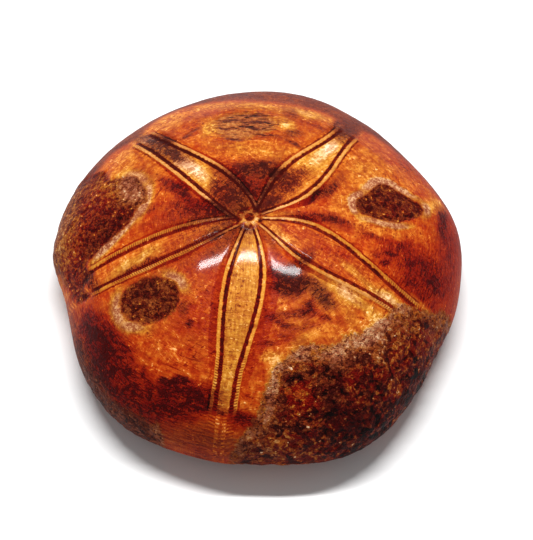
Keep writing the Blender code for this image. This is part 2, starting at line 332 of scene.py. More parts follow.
    (25.6, 10.6, 5.4, 3.6, 15, -0.03, -0.3),
    # crust
    (26.0, -18.4, 4.6, 3.2, 52, 0.12, 0.8),
    (18.0, -24.0, 6.0, 1.8, 28, 0.04, 0.5),
    (35.8, -12.8, 3.4, 1.8, 70, 0.10, 0.1),
    (8.6, -35.6, 5.0, 2.2, -12, 0.09, 0.3),
    (-14.0, -34.0, 8.0, 2.0, -28, 0.04, 0.0),
    (-5.6, -31.4, 3.0, 1.6, 0, 0.06, 0.0),
    (19.6, -27.6, 1.9, 3.4, 0, -0.22, 0.0),
    (22.0, -31.0, 6.0, 2.2, 10, -0.12, 0.0),
    (10.0, -33.0, 2.2, 3.0, 0, -0.12, 0.0),
    (28.4, -24.0, 1.4, 0.9, 0, -0.24, 0.0),
    (12.6, -27.4, 2.4, 0.9, 20, -0.18, 0.0),
    (27.0, -31.0, 7.0, 3.0, 32, -0.14, -0.2),
    (35.0, -18.5, 5.0, 2.0, 70, -0.16, -0.2),
    (14.6, -29.6, 3.0, 2.4, 0, 0.08, -0.2),
    (33.4, -9.4, 4.0, 1.2, 12, -0.10, -0.2),
    (9.0, -30.4, 4.6, 1.2, 92, 0.16, 0.7),
    (12.2, -24.2, 3.6, 1.2, 40, 0.10, 0.6),
    (21.6, -19.4, 5.6, 1.6, 36, 0.12, 0.3),
    (27.4, -14.4, 3.4, 2.0, 50, 0.10, 0.5),
)

# How far the worn places are sunk below the polished dome, and how rough they are
BARE_SINK = 0.22
BARE_ROUGHNESS = 0.14
CRUST_SINK = 0.10
CRUST_ROUGHNESS = 0.32
REAR_ROUGHNESS = 0.06
GREY_SINK = 0.08
GREY_ROUGHNESS = 0.06
DOME_UNEVENNESS = 0.12

# Mesh divisions
COLUMNS = 620
DISC_STEP = 0.2
DISC_REACH = 4.0
DOME_RINGS = 94
ROLL_RINGS = 20
BASE_RINGS = 14
MOUTH_RINGS = 10
FLAT_TOLERANCE = 1e-6


# ---------------------------------------------------------------- shape

def turn_between(bearing, centre):
    """The angle from centre to bearing, in degrees, brought into -180 to 180."""
    return (bearing - centre + 180.0) % 360.0 - 180.0


def smooth_step(value, low, high):
    """0 below low, 1 above high, and a cubic ease between them."""
    share = np.clip((value - low) / (high - low), 0.0, 1.0)
    return share * share * (3.0 - 2.0 * share)


def bell(distance, half_width):
    """A bell curve that is 1 at 0 and falls to about 0.37 at half_width."""
    return np.exp(-((distance / half_width) ** 2))


def margin_radius(bearing):
    """A circle plus one bell curve of bearing for each lobe."""
    radius = np.full_like(bearing, MARGIN_RADIUS)
    for centre, half_width, height in MARGIN_LOBES:
        radius += height * bell(turn_between(bearing, centre), half_width)
    return radius


def dome_height(share):
    """Height at a share of the way out from the apex: a superellipse standing on the girdle."""
    rise = TOTAL_HEIGHT - AMBITUS_HEIGHT - APICAL_DISC_SWELL
    profile = np.clip(1.0 - share**DOME_FULLNESS, 0.0, 1.0) ** (1.0 / SHOULDER_FULLNESS)
    return AMBITUS_HEIGHT + rise * profile


def base_hollows(x, y):
    """Depth of the mouth, of the five furrows that lead to it and of the vent."""
    out_x, out_y = x - MOUTH[0], y - MOUTH[1]
    distance = np.hypot(out_x, out_y)
    bearing = np.degrees(np.arctan2(out_y, out_x))
    depth = MOUTH_DEPTH * (1.0 - smooth_step(distance, 0.6 * MOUTH_RADIUS, 1.3 * MOUTH_RADIUS))
    for root, turn, curl, *_outline in PETALS.values():
        off_line = np.radians(turn_between(bearing, root + turn + curl))
        across = np.where(np.abs(off_line) < 1.5, distance * np.sin(off_line), 99.0)
        depth += FURROW_DEPTH * bell(across, FURROW_HALF_WIDTH) * smooth_step(distance, 1.0, 6.0)
    vent = np.hypot(x / VENT_HALF_WIDTH, (y - MOUTH[1] - VENT_DISTANCE) / VENT_HALF_LENGTH)
    return depth + VENT_DEPTH * (1.0 - smooth_step(vent, 0.15, 1.15))


def base_height(x, y):
    """Height of the underside: concave towards the mouth, hollowed, and flat where it stands."""
    distance = np.hypot(x - MOUTH[0], y - MOUTH[1])
    height = CONCAVITY * (1.0 - smooth_step(distance, 0.0, STANDING_RADIUS)) + base_hollows(x, y)
    return np.maximum(height - FLAT_ALLOWANCE, 0.0)


def dome_grid(bearing, radius):
    """The top: rings spaced evenly by arc length, more finely over the apical disc."""
    share = np.sin(np.linspace(0.0, 0.5 * np.pi, 4000))
    legs = np.hypot(np.diff(MARGIN_RADIUS * share), np.diff(dome_height(share)))
    length = np.concatenate(([0.0], np.cumsum(legs)))
    stations = np.concatenate((np.arange(DISC_STEP, DISC_REACH, DISC_STEP),
                               np.linspace(DISC_REACH, length[-1], DOME_RINGS)))
    share = np.interp(stations, length, share)[:, None]
    x = APEX[0] * (1.0 - share) + share * radius * np.cos(bearing)
    y = APEX[1] * (1.0 - share) + share * radius * np.sin(bearing)
    return np.stack((x, y, np.broadcast_to(dome_height(share), x.shape)), axis=2)


def roll_grid(bearing, radius):
    """The rounded lower edge: a quarter ellipse from the girdle to the base."""
    turn = np.linspace(0.0, 0.5 * np.pi, ROLL_RINGS + 1)[1:, None]
    inset = radius - ROLL_INWARD * (1.0 - np.cos(turn))
    x, y = inset * np.cos(bearing), inset * np.sin(bearing)
    drop = np.sin(turn)
    height = AMBITUS_HEIGHT * (1.0 - drop) + drop**6 * base_height(x, y)
    return np.stack((x, y, height), axis=2)


def base_grid(bearing, radius):
    """The underside: rings that slide from the margin's outline to circles round the mouth."""
    outer = MARGIN_RADIUS - ROLL_INWARD
    reach = np.concatenate((np.linspace(outer, 1.6 * MOUTH_RADIUS, BASE_RINGS + 1)[1:],
                            np.linspace(1.6 * MOUTH_RADIUS, 0.0, MOUTH_RINGS + 1)[1:-1]))
    share = reach[:, None] / outer
    x = MOUTH[0] * (1.0 - share) + share * (radius - ROLL_INWARD) * np.cos(bearing)
    y = MOUTH[1] * (1.0 - share) + share * (radius - ROLL_INWARD) * np.sin(bearing)
    return np.stack((x, y, base_height(x, y)), axis=2)


def outward_normals(grid):
    """Cross product of the steps outwards along the rings' spokes and round each ring."""
    along = np.gradient(grid, axis=0)
    around = np.roll(grid, -1, axis=1) - np.roll(grid, 1, axis=1)
    normal = np.cross(along, around)
    return normal / np.linalg.norm(normal, axis=2, keepdims=True)


# ---------------------------------------------------------------- features on the surface

def lattice_noise(points, size, seed):
    """Values between -1 and 1 on a random lattice of that cell size, eased between its corners."""
    table = np.random.RandomState(seed).uniform(-1.0, 1.0, (32, 32, 32))
    cell = points / size
    corner = np.floor(cell).astype(int)
    part = cell - corner
    part = part * part * (3.0 - 2.0 * part)
    total = np.zeros(points.shape[:-1])
    for index in range(8):
        step = np.array((index & 1, (index >> 1) & 1, index >> 2))
        weight = np.prod(np.where(step == 1, part, 1.0 - part), axis=-1)
        at = (corner + step) % 32
        total += weight * table[at[..., 0], at[..., 1], at[..., 2]]
    return total


def smooth_outline(corners, steps=6):
    """A closed curve through the corners, as Catmull-Rom spans."""
    points = np.array(corners)
    before, after, beyond = (np.roll(points, shift, axis=0) for shift in (1, -1, -2))
    spans = []
    for t in np.arange(steps) / steps:
        spans.append(0.5 * (2.0 * points + (after - before) * t
                            + (2.0 * before - 5.0 * points + 4.0 * after - beyond) * t**2
                            + (3.0 * (points - after) + beyond - before) * t**3))
    return np.stack(spans, axis=1).reshape(-1, 2)


def depth_inside(x, y, corners):
    """Distance to the nearest stretch of a smooth outline, positive inside it by the crossing rule."""
    outline = smooth_outline(corners)
    nearest = np.full(x.shape, 1e9)
    inside = np.zeros(x.shape, bool)
    for (ax, ay), (bx, by) in zip(outline, np.roll(outline, -1, axis=0)):
        run_x, run_y = bx - ax, by - ay
        share = np.clip(((x - ax) * run_x + (y - ay) * run_y) / (run_x**2 + run_y**2), 0.0, 1.0)
        nearest = np.minimum(nearest, np.hypot(x - ax - share * run_x, y - ay - share * run_y))
        crosses = (ay > y) != (by > y)
        inside ^= crosses & (x < ax + (y - ay) * run_x / (run_y if run_y else 1e-9))
    return np.where(inside, nearest, -nearest)


def ellipse(x, y, centre_x, centre_y, half_length, half_width, bearing):
    """1 in the middle of a turned ellipse, falling softly past its edge."""
    turn = math.radians(bearing)
    along = (x - centre_x) * math.cos(turn) + (y - centre_y) * math.sin(turn)
    across = (y - centre_y) * math.cos(turn) - (x - centre_x) * math.sin(turn)
    return np.exp(-np.hypot(along / half_length, across / half_width) ** 3)


def stain_sums(x, y):
    """Sums of the stains' changes in paleness and in earthiness."""
    paler, earthier = np.zeros(x.shape), np.zeros(x.shape)
    for *middle, change, earth in STAINS:
        share = ellipse(x, y, *middle)
        paler += change * share
        earthier += earth * share
    return paler, earthier


def petal_fields(x, y):
    """For the nearest petal: distance past its inner groove, share of the way to its end, and the
    width and darkness of the band outside its strip."""
    distance = np.hypot(x, y)
    bearing = np.degrees(np.arctan2(y, x))
    fields = {key: np.zeros(x.shape) for key in ("along", "band", "band_dark", "ladder", *PAINT_FIELDS)}
    fields["rim"] = np.full(x.shape, 99.0)
    for name, petal in PETALS.items():
        root, turn, curl, length, half_width, widest, open_tip, opening, end, first, last = petal
        t = distance / length
        closing = opening * (1.0 - widest) / widest
        lens = (t / widest) ** opening * np.clip((1.0 - t) / (1.0 - widest), 0.0, None) ** closing
        tail = open_tip * np.clip(t, 0.0, 1.0) ** 1.5
        half = half_width * ((1.0 - open_tip * widest**1.5) * lens + tail)
        off_line = np.radians(turn_between(bearing, root + turn * t + curl * t * t))
        across = np.where(np.abs(off_line) < 1.5, distance * np.sin(off_line), 99.0)
        rim = np.abs(across) - half
        along = distance / end
        nearer = rim < fields["rim"]
        fields["rim"] = np.where(nearer, rim, fields["rim"])
        fields["along"] = np.where(nearer, along, fields["along"])
        for key, value in zip(PAINT_FIELDS, PETAL_PAINT[name]):
            fields[key] = np.where(nearer, value, fields[key])
        ladder = smooth_step(along, first, first + 0.1) * (1.0 - smooth_step(along, last - 0.04, last))
        fields["ladder"] = np.where(nearer, ladder, fields["ladder"])
        for side, (width, begin, finish, dark) in zip((across > 0.0, across <= 0.0), BANDS[name]):
            swell = smooth_step(along, begin, begin + 0.25)
            swell *= 1.0 - smooth_step(along, finish - 0.3, finish)
            fields["band"] = np.where(nearer & side, width * swell, fields["band"])
            fields["band_dark"] = np.where(nearer & side, dark * swell, fields["band_dark"])
    return fields


def apical_disc_paint(x, y):
    """A red middle, a cream ring drawn out in points, and a dark pore where each petal begins."""
    reach = np.hypot(x, y)
    bearing = np.arctan2(y, x)
    points = 1.45 + 0.3 * np.cos(8.0 * bearing + 0.6) + 0.12 * np.cos(13.0 * bearing)
    ring = smooth_step(reach, 0.75, 1.0) * (1.0 - smooth_step(reach, points, points + 0.5))
    paler = 0.16 * ring - 0.16 * (1.0 - smooth_step(reach, 0.6, 0.95))
    earthier = 0.9 * ring
    for root, *_outline in PETALS.values():
        turn = math.radians(root)
        pore = bell(np.hypot(x - 2.1 * math.cos(turn), y - 2.1 * math.sin(turn)), 0.38)
        paler -= 0.5 * pore
    return paler, earthier


def surface_fields(grid):
    """Every named field that the relief and the finish read, on the grid."""
    x, y = grid[..., 0] - APEX[0], grid[..., 1] - APEX[1]
    fields = petal_fields(x, y)
    fields["reach"] = np.hypot(x, y)
    fields["bare"] = np.max([depth_inside(x, y, corners) / fray for fray, corners in BARE_PLACES], axis=0)
    fields["frayed"] = np.max([strength * ellipse(x, y, *middle) for *middle, strength in FRAYED_EDGES],
                              axis=0)
    fields["grey"] = depth_inside(x, y, GREY_OUTLINE)
    fields["crust"] = np.max([depth_inside(x, y, outline) for outline in CRUST_OUTLINES], axis=0)
    fields["rear_rim"] = depth_inside(x, y, REAR_RIM_OUTLINE)
    wander = 0.45 * smooth_step(fields["reach"], 3.0, 8.0)
    stain_x = x + wander * (lattice_noise(grid, 3.0, 11) + 0.5 * lattice_noise(grid, 1.3, 12))
    stain_y = y + wander * (lattice_noise(grid, 3.0, 13) + 0.5 * lattice_noise(grid, 1.3, 14))
    paler, earthier = stain_sums(stain_x, stain_y)
    disc_paler, disc_earthier = apical_disc_paint(x, y)
    fields["paler"] = paler + disc_paler
    fields["earthier"] = earthier + disc_earthier
    ring = np.arange(len(grid))[:, None]
    top_rings = len(grid) - ROLL_RINGS - BASE_RINGS - MOUTH_RINGS + 1
    fields["under"] = smooth_step(ring + 0.0 * x, top_rings, top_rings + 0.6 * ROLL_RINGS)
    fields["hollow"] = fields["under"] * np.clip(base_hollows(grid[..., 0], grid[..., 1]), 0.0, 1.5)
    return fields


def relief(grid, fields):
    """Height above the smooth test: petal grooves and strips, sunken patches and rough crust."""
    top = 1.0 - fields["under"]
    petal = top * smooth_step(fields["reach"], PETAL_START, PETAL_START + 11.0)
    petal *= 1.0 - smooth_step(fields["along"], 0.93, 1.05)
    rim = fields["rim"]
    strip = smooth_step(rim, STRIP_START - 0.3, STRIP_START + 0.2)
    strip *= 1.0 - smooth_step(rim, STRIP_END - 0.2, STRIP_END + 0.3)
    height = petal * (STRIP_HEIGHT * strip - GROOVE_DEPTH * bell(rim, GROOVE_HALF_WIDTH)
                      - OUTER_GROOVE_DEPTH * bell(rim - STRIP_END - 0.3, OUTER_GROOVE_WIDTH))
    disc = np.hypot(grid[..., 0] - APEX[0], grid[..., 1] - APEX[1])
    height += top * APICAL_DISC_SWELL * (1.0 - smooth_step(disc, 0.4, APICAL_DISC_RADIUS))
    ragged = 0.5 * lattice_noise(grid, 1.6, 1) + 0.35 * lattice_noise(grid, 0.8, 2)
    rough = 0.5 * lattice_noise(grid, 1.9, 3) + 0.5 * lattice_noise(grid, 0.95, 4)
    bare = top * smooth_step(fields["bare"] + ragged, -0.3, 0.5)
    crust = smooth_step(fields["crust"] + 1.5 * ragged, -0.3, 1.2)
    rear = smooth_step(fields["rear_rim"] + 1.5 * ragged, 0.0, 2.0)
    grey = top * smooth_step(fields["grey"] + ragged, -0.3, 0.6)
    height += bare * (BARE_ROUGHNESS * rough - BARE_SINK)
    height += crust * (CRUST_ROUGHNESS * rough - CRUST_SINK)
    height += rear * (1.0 - crust) * REAR_ROUGHNESS * rough
    height += grey * (GREY_ROUGHNESS * rough - GREY_SINK)
    height += DOME_UNEVENNESS * lattice_noise(grid, 7.0, 5) * top
    return height


def test_surface():
    """The whole test as one closed grid, with its relief laid along the normals."""
    bearing = np.arange(COLUMNS) * 2.0 * np.pi / COLUMNS
    radius = margin_radius(np.degrees(bearing))
    parts = [make(bearing, radius) for make in (dome_grid, roll_grid, base_grid)]
    grid = np.concatenate(parts)
    poles = np.array(((*APEX, TOTAL_HEIGHT), (*MOUTH, base_height(*np.array(MOUTH)[:, None])[0])))
    fields = surface_fields(grid)
    height = relief(grid, fields)
    on_flat = grid[..., 2] < FLAT_TOLERANCE
    grid = grid + np.where(on_flat, 0.0, height)[..., None] * outward_normals(grid)
    grid[..., 2] = np.clip(grid[..., 2], 0.0, TOTAL_HEIGHT)
    middle = 0.5 * (grid.min(axis=(0, 1)) + grid.max(axis=(0, 1)))
    shift = 0.5 * (BOX_LOW + BOX_HIGH) - middle
    shift[2] = 0.0
    return grid + shift, poles + shift, fields


def closed_faces(rings, columns):
    """Quads between neighbouring rings, and a fan of triangles round each pole, facing outwards."""
    start = np.arange(rings * columns).reshape(rings, columns)
    after = np.roll(start, -1, axis=1)
    quads = np.stack((start[:-1], start[1:], after[1:], after[:-1]), axis=2).reshape(-1, 4)
    top, bottom = rings * columns, rings * columns + 1
    upper = np.stack((np.full(columns, top), start[0], after[0]), axis=1)
    lower = np.stack((np.full(columns, bottom), after[-1], start[-1]), axis=1)
    return quads.tolist() + upper.tolist() + lower.tolist()


def make_test():
    """The sand dollar's mesh, smooth shaded, with one attribute for each field."""
    grid, poles, fields = test_surface()
    points = np.concatenate((grid.reshape(-1, 3), poles)) * MM
    mesh = bpy.data.meshes.new("sand_dollar_test")
    mesh.from_pydata(points.tolist(), [], closed_faces(*grid.shape[:2]))
    mesh.shade_smooth()
    for name, value in fields.items():
        ends = (value[0].mean(), value[-1].mean())
        attribute = mesh.attributes.new(name, "FLOAT", "POINT")
        attribute.data.foreach_set("value", np.concatenate((value.ravel(), ends)).astype(np.float32))
    test = bpy.data.objects.new("sand_dollar_test", mesh)
    bpy.context.scene.collection.objects.link(test)
    return test


# ---------------------------------------------------------------- finish

class Wire:
    """A socket that takes part in Python arithmetic: each operator adds one Math node."""

    def __init__(self, finish, socket):
        self.finish = finish
        self.socket = socket

    def __add__(self, other):
        return self.finish.math("ADD", self, other)

    def __sub__(self, other):
        return self.finish.math("SUBTRACT", self, other)

    def __rsub__(self, other):
        return self.finish.math("SUBTRACT", other, self)

    def __mul__(self, other):
        return self.finish.math("MULTIPLY", self, other)

    def __truediv__(self, other):
        return self.finish.math("DIVIDE", self, other)

    __radd__ = __add__
    __rmul__ = __mul__


class Finish:
    """A material's nodes, added one by one."""

    def __init__(self, name):
        self.material = bpy.data.materials.new(name)
        self.material.use_nodes = True
        self.tree = self.material.node_tree
        self.tree.nodes.clear()

    def node(self, kind, settings=None, sockets=None):
        """A node of that type, its settings set first, then its sockets' values or links."""
        made = self.tree.nodes.new(kind)
        for name, value in (settings or {}).items():
            setattr(made, name, value)
        for key, value in (sockets or {}).items():
            if isinstance(value, Wire):
                self.tree.links.new(value.socket, made.inputs[key])
            else:
                made.inputs[key].default_value = value
        return made

    def finished(self, sockets):
        """The material, with a Principled shader of those sockets as its surface."""
        surface = self.node("ShaderNodeBsdfPrincipled", None, sockets)
        output = self.node("ShaderNodeOutputMaterial")
        self.tree.links.new(surface.outputs[0], output.inputs["Surface"])
        return self.material

    def math(self, operation, *values):
        made = self.node("ShaderNodeMath", {"operation": operation}, dict(enumerate(values)))
        return Wire(self, made.outputs[0])

    def most(self, greatest, *others):
        """The greatest of the values."""
        for other in others:
            greatest = self.math("MAXIMUM", greatest, other)
        return greatest

    def field(self, name):
        return Wire(self, self.node("ShaderNodeAttribute", {"attribute_name": name}).outputs["Fac"])

    def place(self, x, y, z):
        return Wire(self, self.node("ShaderNodeCombineXYZ", None, {0: x, 1: y, 2: z}).outputs[0])

    def hairline(self, value, level, half_width):
        """1 on the thin line where a value crosses that level."""
        return 1.0 - self.step(self.math("ABSOLUTE", value - level), 0.3 * half_width, half_width)

    def step(self, value, low, high):
        """0 below low, 1 above high, eased between."""
        made = self.node("ShaderNodeMapRange", {"interpolation_type": "SMOOTHSTEP"},
                         {"Value": value, "From Min": low, "From Max": high})
        return Wire(self, made.outputs["Result"])

    def window(self, value, low, high, soft):
        """1 between low and high, with soft edges."""
        return self.step(value, low - soft, low + soft) * (1.0 - self.step(value, high - soft, high + soft))

    def blend(self, share, base, over):
        """One number over another."""
        made = self.node("ShaderNodeMix", {"data_type": "FLOAT"}, {0: share, 2: base, 3: over})
        return Wire(self, made.outputs[0])

    def clamp(self, value):
        made = self.node("ShaderNodeClamp", None, {"Value": value})
        return Wire(self, made.outputs[0])

    def ramp(self, value, stops):
        """A colour read off a row of stops."""
        made = self.node("ShaderNodeValToRGB", None, {0: value})
        row = made.color_ramp.elements
        while len(row) < len(stops):
            row.new(1.0)
        for element, (position, colour) in zip(row, stops):
            element.position = position
            element.color = (*colour, 1.0)
        return Wire(self, made.outputs["Color"])

    def mix(self, share, base, over):
        """One colour laid over another."""
        made = self.node("ShaderNodeMix", {"data_type": "RGBA"}, {0: share, 6: base, 7: over})
        return Wire(self, made.outputs[2])

    def noise(self, place, size, detail=2.0, roughness=0.6, distortion=0.0):
        """Fractal noise from 0 to 1, with features of about that size in millimetres."""
        made = self.node("ShaderNodeTexNoise", None,
                         {"Vector": place, "Scale": 1.0 / size, "Detail": detail,
                          "Roughness": roughness, "Distortion": distortion})
        return Wire(self, made.outputs[0])

    def grains(self, place, size):
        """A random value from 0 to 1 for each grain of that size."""
        made = self.node("ShaderNodeTexVoronoi", None, {"Vector": place, "Scale": 1.0 / size})
        value = self.node("ShaderNodeSeparateColor", None, {0: Wire(self, made.outputs["Color"])})
        return Wire(self, value.outputs[0])


class Calcite(Finish):
    """The fossil's finish: the grain that its layers share, and the tone and earthiness laid so far."""

    def __init__(self, name):
        super().__init__(name)
        coordinates = self.node("ShaderNodeTexCoord")
        scaled = self.node("ShaderNodeVectorMath", {"operation": "SCALE"},
                           {0: Wire(self, coordinates.outputs["Object"]), "Scale": 1.0 / MM})
        self.spot = Wire(self, scaled.outputs[0])
        split = self.node("ShaderNodeSeparateXYZ", None, {0: self.spot})
        self.x, self.y, self.z = (Wire(self, socket) for socket in split.outputs)
        self.rim, self.along, self.reach = (self.field(key) for key in ("rim", "along", "reach"))
        self.paler, self.earthier, self.under = (self.field(key) for key in ("paler", "earthier", "under"))
        self.top = 1.0 - self.under

        # Rings round the apex and spokes that run out from it, both carried on down the sides
        run = self.reach - self.z
        east, north = ((place - apex) / (self.reach + 0.5) for place, apex in zip((self.x, self.y), APEX))
        self.rings = self.place(east * 9.0, north * 9.0, run * 1.4)
        spokes = self.place(east * 55.0, north * 55.0, run * 0.45)

        self.cloud = self.noise(self.spot, 7.0, 3.0) - 0.5
        self.mottle = self.noise(self.spot, 2.2, 5.0, 0.6, 0.6) - 0.5
        self.fine = self.noise(self.spot, 0.7, 3.0) - 0.5
        self.grit = self.noise(self.spot, 0.32) - 0.5
        self.hue = self.noise(self.spot, 4.0, 4.0, 0.7) - 0.5
        self.growth = self.noise(self.rings, 1.0, 3.0, 0.65) - 0.5
        fading = 1.0 - self.step(self.reach, 31.0, 37.0) * 0.7
        self.fibres = (self.noise(spokes, 1.0, 2.0, 0.5) - 0.5) * fading
        self.ragged = self.mottle * 2.6 + self.fine * 1.6
        self.stone = self.mottle * 0.5 + self.fine * 0.9 + self.grit * 0.7

    def spots(self, size, low, high, detail=2.0, roughness=0.6, distortion=0.0):
        """1 where noise of that size is above high, 0 where it is below low."""
        return self.step(self.noise(self.spot, size, detail, roughness, distortion), low, high)

    def lay(self, share, tone, earth_share, earth):
        """One layer over the paint so far, with a share of its tone and a share of its earthiness."""
        self.tone = self.blend(share, self.tone, tone)
        self.earth = self.blend(earth_share, self.earth, earth)


# Colours of the calcite from its darkest stain to its palest scratch: clear red, earthy and chalky
CLEAR = (
    (0.00, (0.004, 0.0003, 0.0003)),
    (0.25, (0.050, 0.0008, 0.0006)),
    (0.40, (0.133, 0.0014, 0.0008)),
    (0.55, (0.264, 0.0110, 0.0012)),
    (0.65, (0.380, 0.0300, 0.0020)),
    (0.75, (0.520, 0.0760, 0.0050)),
    (0.85, (0.690, 0.1700, 0.0160)),
    (1.00, (0.980, 0.4600, 0.1600)),
)
EARTHY = (
    (0.00, (0.006, 0.0008, 0.0004)),
    (0.25, (0.050, 0.0050, 0.0018)),
    (0.40, (0.133, 0.0190, 0.0050)),
    (0.55, (0.264, 0.0560, 0.0070)),
    (0.65, (0.380, 0.1050, 0.0100)),
    (0.75, (0.520, 0.1900, 0.0170)),
    (0.85, (0.690, 0.3100, 0.0400)),
    (1.00, (0.980, 0.6000, 0.2400)),
)
CHALKY = (
    (0.00, (0.006, 0.0010, 0.0008)),
    (0.25, (0.050, 0.0085, 0.0050)),
    (0.40, (0.133, 0.0250, 0.0110)),
    (0.55, (0.264, 0.0660, 0.0290)),
    (0.65, (0.380, 0.1250, 0.0520)),
    (0.75, (0.520, 0.2500, 0.1200)),
    (0.85, (0.690, 0.3900, 0.2100)),
    (1.00, (0.980, 0.7200, 0.5000)),
)

# Tones on those rows of colours
PLATE_TONE = 0.685
DARKEST_PLATE_TONE = 0.19
DARKEST_GROOVE_TONE = 0.18
LADDER_TONE = 0.45
FRAYED_TONE = 0.53
GREY_TONE = 0.57
FILLING_TONE = 0.27
REAR_RIM_TONE = 0.39
CRUST_TONE = 0.35
CRUST_EDGE_TONE = 0.58
UNDER_TONE = 0.5

# Straight scratches: bearing and level of the noise that draws each set, and how that noise is
# stretched along them and crowded across them
CUTS = ((62.0, 0.0), (-38.0, 7.0))
CUT_STRETCH = 0.12
CUT_CROWDING = 0.8

# Spacing of the rungs along a petal's strips and of the lines across its floor
RUNG_SPACING = 0.42
LINE_SPACING = 1.1

# Gloss of the polished stone under its thin clear coat, and how much of it wear takes away
POLISHED_ROUGHNESS = 0.35
WORN_ROUGHNESS = 0.65
STONE_IOR = 1.5
STONE_SHEEN = 0.04
COAT_IOR = 1.18
COAT_ROUGHNESS = 0.075
COAT_LOST_TO_WEAR = 0.9


def straight_cuts(f):
    """Thin straight scratches: stretched noise in two directions, kept only in scattered places."""
    lines = 0.0
    for bearing, level in CUTS:
        cosine, sine = math.cos(math.radians(bearing)), math.sin(math.radians(bearing))
        along, across = f.x * cosine + f.y * sine, f.y * cosine - f.x * sine
        drawn = f.noise(f.place(along * CUT_STRETCH, across * CUT_CROWDING, level), 1.0, 1.0, 0.3)
        lines = lines + f.hairline(drawn, 0.5, 0.009)
    return lines * f.spots(5.0, 0.52, 0.58, 1.0, 0.5)


def paint_plates(f):
    """Amber plates: mottled stains, growth rings and fibres, then small marks, dark and pale."""
    patchy = f.step(f.mottle + f.fine * 0.6 + f.grit * 0.3, -0.04, 0.04)
    wrinkles = f.hairline(f.noise(f.rings, 1.1, 2.0, 0.5, 0.8), 0.5, 0.045) * f.clamp(f.paler * -6.0)
    flecks = f.spots(0.9, 0.61, 0.65, 3.0) * f.step(f.cloud + f.mottle * 0.8, -0.02, 0.1)
    creases = f.hairline(f.noise(f.rings, 3.1, 2.0, 0.5, 0.4), 0.47, 0.011) * f.step(f.cloud, 0.0, 0.08)
    sparks = f.spots(0.65, 0.66, 0.70)
    scratches = f.hairline(f.noise(f.rings, 2.6, 1.0, 0.4), 0.5, 0.011) * f.step(f.fine, 0.0, 0.1)
    tone = PLATE_TONE + f.paler * (0.5 + patchy) + f.growth * 0.28 + f.fibres * 0.2
    tone = tone + f.cloud * 0.18 + f.mottle * 0.45 + f.fine * 0.3 + f.grit * 0.12
    tone = tone - wrinkles * 0.24 - flecks * 0.2 - creases * 0.18
    tone = tone + sparks * 0.1 + scratches * 0.2 + straight_cuts(f) * 0.12
    f.tone = f.most(tone, DARKEST_PLATE_TONE + f.fine * 0.5 + f.mottle * 0.3)
    f.earth = f.earthier + 0.08 + f.hue * 0.8 + f.mottle * 0.5


def paint_petals(f):
    """Golden floors, bands outside the strips, cream strips, dark grooves and the ladder of pores.

    Returns where the petals' edges are.
    """
    petal = f.step(f.reach, PETAL_START - 0.4, PETAL_START + 0.4) * (1.0 - f.step(f.along, 0.97, 1.02))
    petal = petal * f.top
    wavy = f.rim / (0.55 + f.step(f.reach, 3.0, 14.0) * 0.45) + f.fine * 0.5 + f.mottle * 0.4
    rungs = f.math("SINE", (f.reach + f.rim * 0.2) * (2.0 * math.pi / RUNG_SPACING))
    rung_marks = f.step(rungs, -0.2, 0.5)

    floor = petal * (1.0 - f.step(wavy, -0.5, -0.3))
    lines = f.math("SINE", f.reach * (2.0 * math.pi / LINE_SPACING)) * 0.012
    f.tone = f.tone + floor * (f.field("floor_paler") + lines + f.fibres * 0.2 - f.mottle * 0.15)
    f.earth = f.earth + floor * f.field("floor_earthier")

    band = f.field("band")
    beyond = petal * f.window(wavy, STRIP_END, band + (STRIP_END + 0.1), 0.1) * f.step(band, 0.1, 0.4)
    f.tone = f.tone - beyond * (f.field("band_dark") + rungs * 0.012 + f.mottle * 0.3)
    f.earth = f.earth - beyond * 0.2

    strip = petal * f.window(wavy, STRIP_START, STRIP_END, 0.1)
    clear = f.clamp(1.0 + f.paler * 2.5) * f.clamp(0.8 + f.mottle * 2.0)
    cream = 1.0 - f.step(f.reach, 8.0, 14.0)
    strip_tone = f.field("strip_tone") + 0.01 + cream * 0.06 + f.fine * 0.4 + rungs * 0.02
    groove_earth = f.field("groove_earth")
    f.lay(strip * clear * 0.95, strip_tone, strip * 0.7, 1.1 + groove_earth * 1.5 + cream * 0.4)

    groove_reach = f.field("groove_reach")
    groove = petal * (1.0 - f.step(f.math("ABSOLUTE", wavy), groove_reach - 0.1, groove_reach + 0.06))
    groove_tone = f.field("groove_tone") - 0.04 + f.paler * 0.5 + f.fine * 0.6 + f.mottle * 0.9
    f.lay(groove * 0.92, f.most(groove_tone, DARKEST_GROOVE_TONE), groove * 0.9, groove_earth)
    outer_groove = petal * f.window(wavy, STRIP_END + 0.05, STRIP_END + 0.05 + OUTER_GROOVE_WIDTH, 0.1)
    f.tone = f.tone - outer_groove * (1.0 - beyond) * (0.2 + f.mottle)

    tail = f.window(f.rim, -1.2, 0.8, 0.2) * f.step(f.along, 0.98, 1.02) * (1.0 - f.step(f.along, 1.13, 1.2))
    f.tone = f.tone + tail * f.top * (rung_marks * 0.13 + 0.03)
    ladder = f.field("ladder") * f.window(f.rim, -0.45, 0.95, 0.1) * rung_marks
    f.tone = f.blend(ladder * 0.8, f.tone, LADDER_TONE)
    return petal * f.window(wavy, -0.7, STRIP_END + 1.2, 0.3)


def paint_frayed_shell(f, bare_depth):
    """Pale speckled shell just outside the bare patches."""
    frayed = f.window(bare_depth, -1.5, 0.0, 0.4) * f.field("frayed") * f.top
    speckled = f.step(f.fine + f.grit * 0.8, -0.1, 0.12)
    tone = FRAYED_TONE + speckled * 0.28 + f.mottle * 0.4
    f.lay(f.clamp(frayed * 0.9), tone, f.clamp(frayed * 1.5), 1.9)


